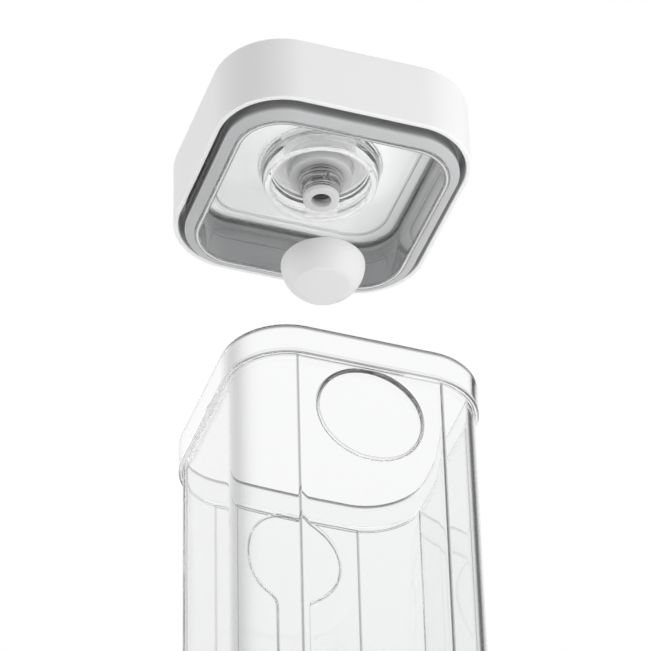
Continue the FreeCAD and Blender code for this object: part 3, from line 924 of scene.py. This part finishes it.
def silicone(name, colour, rough, shadow_colour=None):
    """Silicone rubber: soft matte skin, with light let in a little below the surface and a fine dusty grain.

    With a shadow colour, the shade mark draws it towards that colour as painted shadow on shaded sides."""
    material, tree, shader, add = new_material(name)
    shader.inputs["Subsurface Weight"].default_value = silicone_glow
    shader.inputs["Subsurface Radius"].default_value = (1, 1, 1)
    shader.inputs["Subsurface Scale"].default_value = silicone_depth
    shader.inputs["Specular IOR Level"].default_value = silicone_gloss
    place = add("ShaderNodeTexCoord").outputs["Object"]
    dust = add("ShaderNodeTexNoise", {"Vector": place}, in_Scale=1 / dust_size, in_Detail=5.0)
    dust.inputs["Roughness"].default_value = dust_sharp
    cloud = add("ShaderNodeTexNoise", {"Vector": place}, in_Scale=1 / dust_cloud, in_Detail=2.0)
    shade = add("ShaderNodeMix", {"Factor": cloud.outputs["Fac"]}, data_type="RGBA")
    shade.inputs["A"].default_value = (*[silicone_dim * c for c in colour], 1)
    shade.inputs["B"].default_value = (*colour, 1)
    tone = shade.outputs["Result"]
    if shadow_colour is not None:
        mark = add("ShaderNodeAttribute", attribute_name="shade").outputs["Fac"]
        dimmed = add("ShaderNodeMix", {"Factor": mark, "A": tone}, data_type="RGBA")
        dimmed.inputs["B"].default_value = (*shadow_colour, 1)
        tone = dimmed.outputs["Result"]
    tree.links.new(tone, shader.inputs["Base Color"])
    polish = add("ShaderNodeMapRange", {"Value": dust.outputs["Fac"]})
    polish.inputs["To Min"].default_value = rough - silicone_spread
    polish.inputs["To Max"].default_value = rough + silicone_spread
    tree.links.new(polish.outputs["Result"], shader.inputs["Roughness"])
    bump = add("ShaderNodeBump", {"Height": dust.outputs["Fac"]})
    bump.inputs["Strength"].default_value = dust_strength
    bump.inputs["Distance"].default_value = dust_height
    tree.links.new(bump.outputs["Normal"], shader.inputs["Normal"])
    return material


grey_silicone = silicone("grey gasket silicone", gasket_grey, gasket_rough, gasket_shadow_grey)
gasket = make_piece("gasket_ring", lid_rings(gasket_profile), grid_quads(len(gasket_profile), COLUMNS, True),
                    grey_silicone, "lid", "gasket_grey", shade=np.repeat(gasket_profile[:, 3], COLUMNS))
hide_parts("lid_gasket")

# Chimney seal: a small silicone washer between the chimney's end and the underside of the valve seat.
# Nothing of it shows, so it keeps its plain shape.
seal_grey = (0.5, 0.5, 0.5)
seal_rough = 0.55
seal_silicone = silicone("seal silicone", seal_grey, seal_rough)
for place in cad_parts["chimney_seal"].material_slots:
    place.material = seal_silicone

# Vacuum valve: a crowned silicone flap that lies over the vents in the dish, with a tab at its front to lift
# it and let the air back in. A stem with a bulb on its end holds it in the seat.
valve_low, valve_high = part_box("vacuum_valve")
valve_radius = valve_high.x
valve_edge = 0.9 * MM
valve_crown = 2.4 * MM
valve_face = valve_high.z - valve_crown
stem = 1.3 * MM
bulb = 2.3 * MM
bulb_height = 3.2 * MM
bulb_top = valve_low.z + bulb_height
flap_round = 0.4 * MM
tab_half = 4.5 * MM
tab_thick = 1.6 * MM
tab_reach = -valve_low.y
tab_start = 6.0 * MM
tab_slope = 0.6 * MM
valve_white = (0.74, 0.74, 0.74)
valve_rough = 0.5
VALVE_COLUMNS = 180
CROWN_ROWS = 22
UNDER_SHARES = np.array([[0.98], [0.6]])
valve_turn = np.linspace(0, 2 * math.pi, VALVE_COLUMNS, endpoint=False) - math.pi / 2


def flap_reach(angle):
    """How far the flap reaches at each angle: the disc's radius, or the tab where that goes further.

    The tab's end is a circle of the tab's half width about a point on -Y; a ray meets it at
    d cos(a) + sqrt(half^2 - d^2 sin^2(a)), and the tab's straight side at half / sin(a)."""
    away = np.abs((angle + math.pi / 2 + math.pi) % (2 * math.pi) - math.pi)
    middle = tab_reach - tab_half
    inside = np.clip(tab_half ** 2 - (middle * np.sin(away)) ** 2, 0, None)
    end = middle * np.cos(away) + np.sqrt(inside)
    side = tab_half / np.maximum(np.sin(away), 1e-6)
    on_tab = away < math.pi / 2
    tab = np.where(side * np.cos(away) < middle, side, end)
    return np.where(on_tab, np.maximum(valve_radius, tab), valve_radius)


def flap_rings():
    """Valve from the crown's pole out to the flap's edge, round it, and back below to the stem and its bulb.

    The top is the higher of the crown, which falls with the square of the radius, and the tab's flat."""
    reach = flap_reach(valve_turn)
    share = np.linspace(0, 1, CROWN_ROWS)[:, None]
    radius = share * (reach - flap_round)
    crown = valve_crown - (valve_crown - valve_edge) * (radius / valve_radius) ** 2
    width = np.abs(radius * np.cos(valve_turn)) - (tab_half - tab_slope)
    on_tab = (np.sin(valve_turn) < 0) * (1 - np.clip(width / tab_slope, 0, 1))
    top = np.maximum(crown, np.where(radius > tab_start, tab_thick * on_tab, 0))
    half = top[-1] / 2
    arc = np.linspace(0, math.pi, ARC_POINTS)[1:-1, None]
    around = reach - flap_round + flap_round * np.sin(arc)
    level = half + half * np.cos(arc)
    under = UNDER_SHARES * (reach - flap_round)
    bulb_level = bulb_top - valve_face
    stem_end = valve_low.z - valve_face
    stem_rows = np.array([(stem, 0), (stem, bulb_level), (bulb, bulb_level), (stem, stem_end), (0, stem_end)])
    radii = np.concatenate([radius, around, under, stem_rows[:, :1] + 0 * reach])
    heights = np.concatenate([top, level, 0 * under, stem_rows[:, 1:] + 0 * reach])
    return np.stack([radii * np.cos(valve_turn), radii * np.sin(valve_turn), heights + valve_face], axis=2)


flap = flap_rings()[::-1]
valve_silicone = silicone("valve silicone", valve_white, valve_rough)
valve = make_piece("valve_flap", flap, grid_quads(len(flap), VALVE_COLUMNS), valve_silicone, "valve",
                   "valve_silicone")
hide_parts("vacuum_valve")

# Powder cap: a thin white silicone cup that is pushed on the nipple to keep powder out of the pump. Inside, a
# socket grips the nipple's tip, and crossed slots in the socket let the air past.
cap_low, cap_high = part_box("powder_cap")
cap_radius = cap_high.x
cap_height = cap_high.z - cap_low.z
cap_face = 11.6 * MM
cap_wall = 1.8 * MM
outer_bulge = 1.6 * MM
inner_bulge = 1.0 * MM
socket_inner = 8.1 * MM
socket_wall = 1.7 * MM
socket_outer = socket_inner + socket_wall
socket_height = 7.0 * MM
socket_top = cap_wall + socket_height
air_half = 1.2 * MM
air_depth = 0.9 * MM
air_floor = cap_wall - air_depth
face_round = 3.6 * MM
rim_soft = 0.4 * MM
cap_white = (0.71, 0.71, 0.71)
cap_rough = 0.6
FLANK_POINTS = 14
FREE_COLUMNS = 28


def flank(inset, bulge):
    """Arc of the cup's side from its face to its rim, bulged outwards, for the outside or moved in by inset.

    Its ends and its bulge fix the arc: radius = (half chord squared + bulge squared) / (2 bulge)."""
    foot = np.array([cap_face, inset])
    rim = np.array([cap_radius - inset, cap_height])
    chord = rim - foot
    length = np.hypot(*chord)
    outward = np.array([chord[1], -chord[0]]) / length
    radius = (length ** 2 / 4 + bulge ** 2) / (2 * bulge)
    centre = (foot + rim) / 2 - outward * (radius - bulge)
    start = math.atan2(*(foot - centre)[::-1])
    end = math.atan2(*(rim - centre)[::-1])
    angle = np.linspace(start, end, FLANK_POINTS)
    return centre + radius * np.stack([np.cos(angle), np.sin(angle)], axis=1)


def cap_rings():
    """Cup turned about the axis, from the pole of its face out, over the rim and in to the socket's floor.

    In each quarter five columns belong to an air slot: two pairs on its side planes, at the angle whose sine
    is half the slot over the radius, and its middle. The inner three drop to the slot's floor."""
    outer = [(*point, 0.0) for point in flank(0.0, outer_bulge)]
    inner = [(*point, 0.0) for point in flank(cap_wall, inner_bulge)[::-1]]
    outer[0] = (*outer[0][:2], face_round)
    outer[-1] = (*outer[-1][:2], rim_soft)
    inner[0] = (*inner[0][:2], rim_soft)
    crossing = air_half * math.sqrt(2)
    cup = soften([(0.0, 0.0, 0.0), *outer, *inner])
    socket = np.array([(socket_outer, cap_wall), (socket_outer, cap_wall), (socket_outer, socket_top),
                       (socket_inner, socket_top), (socket_inner, cap_wall), (crossing, cap_wall),
                       (crossing, air_floor), (0.0, air_floor)])
    profile = np.concatenate([cup, socket])
    radius, height = profile.T[..., None]
    wall = np.arcsin(np.minimum(air_half / np.maximum(radius, air_half), math.sqrt(0.5)))
    beside = wall * SLOT_SIDES
    free = wall + (math.pi / 2 - 2 * wall) * np.linspace(0, 1, FREE_COLUMNS + 2)[1:-1]
    quarter = np.concatenate([beside, free], axis=1)
    angle = np.concatenate([quarter + k * math.pi / 2 for k in range(4)], axis=1)
    in_slot = np.tile(np.arange(quarter.shape[1]) - SLOT_SIDES.size // 2, 4)
    drops = (np.arange(len(profile)) > len(cup))[:, None] & (np.abs(in_slot) <= 1)
    level = np.where(drops, np.minimum(height, air_floor), height)
    return np.stack([radius * np.cos(angle), radius * np.sin(angle), level + cap_low.z], axis=2)


cap_grid = cap_rings()
cap_silicone = silicone("white cap silicone", cap_white, cap_rough)
cap = make_piece("cap_cup", cap_grid, grid_quads(*cap_grid.shape[:2]), cap_silicone, "cap", "cap_silicone")
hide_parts("powder_cap")

# Studio: a pale sheet under the canister that is seen from above and keeps the object's shadow, but lets the
# camera look up through it, with soft lamps and a white surround.
floor_size = 3.0
floor_gap = 0.2 * MM
paper_white = (0.93, 0.93, 0.93)
paper_rough = 0.9
paper_gloss = 0.1
paper_near = 0.35
paper_far = 1.2
floor_mesh = bpy.data.meshes.new("floor")
corners = np.array([(-1, -1), (1, -1), (1, 1), (-1, 1)]) * floor_size
floor_mesh.from_pydata(np.pad(corners, ((0, 0), (0, 1)), constant_values=-floor_gap), [], [(0, 1, 2, 3)])
floor = bpy.data.objects.new("floor", floor_mesh)
bpy.context.scene.collection.objects.link(floor)


def floor_paper():
    """Pale paper that keeps the shadow, open from below and to light on its way up.

    It fades out from its near to its far distance as a smooth step."""
    material, tree, shader, add = new_material("pale floor")
    shader.inputs["Base Color"].default_value = (*paper_white, 1)
    shader.inputs["Roughness"].default_value = paper_rough
    shader.inputs["Specular IOR Level"].default_value = paper_gloss
    below = add("ShaderNodeNewGeometry").outputs["Backfacing"]
    ray = add("ShaderNodeLightPath")
    lighting = add("ShaderNodeMath", {0: ray.outputs["Is Shadow Ray"], 1: ray.outputs["Diffuse Depth"]},
                   operation="MAXIMUM", use_clamp=True)
    place = add("ShaderNodeTexCoord").outputs["Object"]
    away = add("ShaderNodeVectorMath", {0: place}, operation="LENGTH").outputs["Value"]
    faded = add("ShaderNodeMapRange", {"Value": away}, interpolation_type="SMOOTHSTEP")
    faded.inputs["From Min"].default_value = paper_near
    faded.inputs["From Max"].default_value = paper_far
    passed = add("ShaderNodeMath", {0: below, 1: lighting.outputs["Value"]}, operation="MAXIMUM")
    ends = {0: passed.outputs["Value"], 1: faded.outputs["Result"]}
    is_open = add("ShaderNodeMath", ends, operation="MAXIMUM")
    open_side = add("ShaderNodeBsdfTransparent")
    layers = {0: is_open.outputs["Value"], 1: shader.outputs["BSDF"], 2: open_side.outputs["BSDF"]}
    mixed = add("ShaderNodeMixShader", layers)
    tree.links.new(mixed.outputs["Shader"], tree.nodes["Material Output"].inputs["Surface"])
    return material


floor_mesh.materials.append(floor_paper())

flag_turn = math.radians(59.81)
flag_half = math.radians(12)
flag_edge = 4.0
flag_grey = 0.08
soft_light = 0.52


def studio_world():
    """White surround, dimmer as a light than to the eye, with one dark flag behind the object on its right.

    Only what shines or lets light through shows the flag, which draws the dark line beside the right edge of
    clear plastic. It is a bell curve of the direction's angle from the flag's middle: exp(-(angle / half)^4).
    """
    world = bpy.data.worlds.new("studio")
    world.use_nodes = True
    nodes, links = world.node_tree.nodes, world.node_tree.links

    def math_node(operation, *values):
        node = nodes.new("ShaderNodeMath")
        node.operation = operation
        for socket, value in zip(node.inputs, values):
            if isinstance(value, (int, float)):
                socket.default_value = value
            else:
                links.new(value, socket)
        return node.outputs["Value"]

    def mix(factor, first, second):
        node = nodes.new("ShaderNodeMix")
        node.data_type = "RGBA"
        links.new(factor, node.inputs["Factor"])
        for socket, value in ((node.inputs["A"], first), (node.inputs["B"], second)):
            if isinstance(value, float):
                socket.default_value = (value, value, value, 1)
            else:
                links.new(value, socket)
        return node.outputs["Result"]

    direction = nodes.new("ShaderNodeSeparateXYZ")
    links.new(nodes.new("ShaderNodeTexCoord").outputs["Generated"], direction.inputs[0])
    heading = math_node("ARCTAN2", direction.outputs["X"], direction.outputs["Y"])
    angle = math_node("SUBTRACT", heading, flag_turn)
    apart = math_node("POWER", math_node("ABSOLUTE", math_node("DIVIDE", angle, flag_half)), flag_edge)
    flag = math_node("EXPONENT", math_node("MULTIPLY", apart, -1.0))
    ray = nodes.new("ShaderNodeLightPath")
    shine = math_node("MAXIMUM", ray.outputs["Is Glossy Ray"], ray.outputs["Is Transmission Ray"])
    lit = mix(shine, soft_light, mix(flag, 1.0, flag_grey))
    links.new(mix(ray.outputs["Is Camera Ray"], lit, 1.0), nodes["Background"].inputs["Color"])
    return world


def soft_lamp(name, place, aim, size, power):
    """Square soft box at a place, turned towards the point it lights."""
    lamp = bpy.data.lights.new(name, "AREA")
    lamp.shape = "SQUARE"
    lamp.size = size
    lamp.energy = power
    box = bpy.data.objects.new(name, lamp)
    box.location = place
    box.rotation_euler = (Vector(aim) - Vector(place)).to_track_quat("-Z", "Y").to_euler()
    bpy.context.scene.collection.objects.link(box)


lid_middle = (0, 0, lid_level)
soft_lamp("right box", place=(1.3, -1.55, 0.3), aim=lid_middle, size=1.0, power=18.5)
soft_lamp("left box", place=(-1.6, 0.7, 0.4), aim=lid_middle, size=1.0, power=10.5)
soft_lamp("low box", place=(0.4, -0.3, -1.3), aim=lid_middle, size=1.8, power=19.0)
soft_lamp("top box", place=(0.3, 0.4, 1.9), aim=(0, 0, 0), size=1.8, power=8.0)
CLEAR_BOUNCES = 32
studio = bpy.context.scene
studio.world = studio_world()
studio.view_settings.view_transform = "Standard"
studio.cycles.blur_glossy = 0.0
studio.cycles.max_bounces = CLEAR_BOUNCES
studio.cycles.glossy_bounces = CLEAR_BOUNCES
studio.cycles.transmission_bounces = CLEAR_BOUNCES

# Camera: below the object and in front of it, looking up along the photograph's line of sight.
# Its place and lens follow from the rim and the lid's edges; the image is square.
photo_pixels = 651
focal_pixels = 4148.9
camera_turn = math.radians(-19.81)
camera_rise = math.radians(-39.984)
camera_roll = math.radians(-1.518)
camera_place = np.array([-444.38, -1234.81, -1051.14]) * MM + (0, 0, canister_height)
camera = bpy.data.cameras.new("camera")
camera.sensor_width = 36.0
camera.lens = camera.sensor_width * focal_pixels / photo_pixels
camera.clip_end = 20.0
view = bpy.data.objects.new("camera", camera)
back = np.array([
    math.sin(camera_turn) * math.cos(camera_rise),
    -math.cos(camera_turn) * math.cos(camera_rise),
    math.sin(camera_rise),
])
level = np.cross((0, 0, 1), back)
level /= np.linalg.norm(level)
upright = np.cross(back, level)
right = math.cos(camera_roll) * level + math.sin(camera_roll) * upright
upright = np.cross(back, right)
pose = np.eye(4)
pose[:3, :3] = np.stack([right, upright, back], axis=1)
pose[:3, 3] = camera_place
view.matrix_world = pose.T.tolist()
studio.collection.objects.link(view)
bpy.context.scene.camera = view
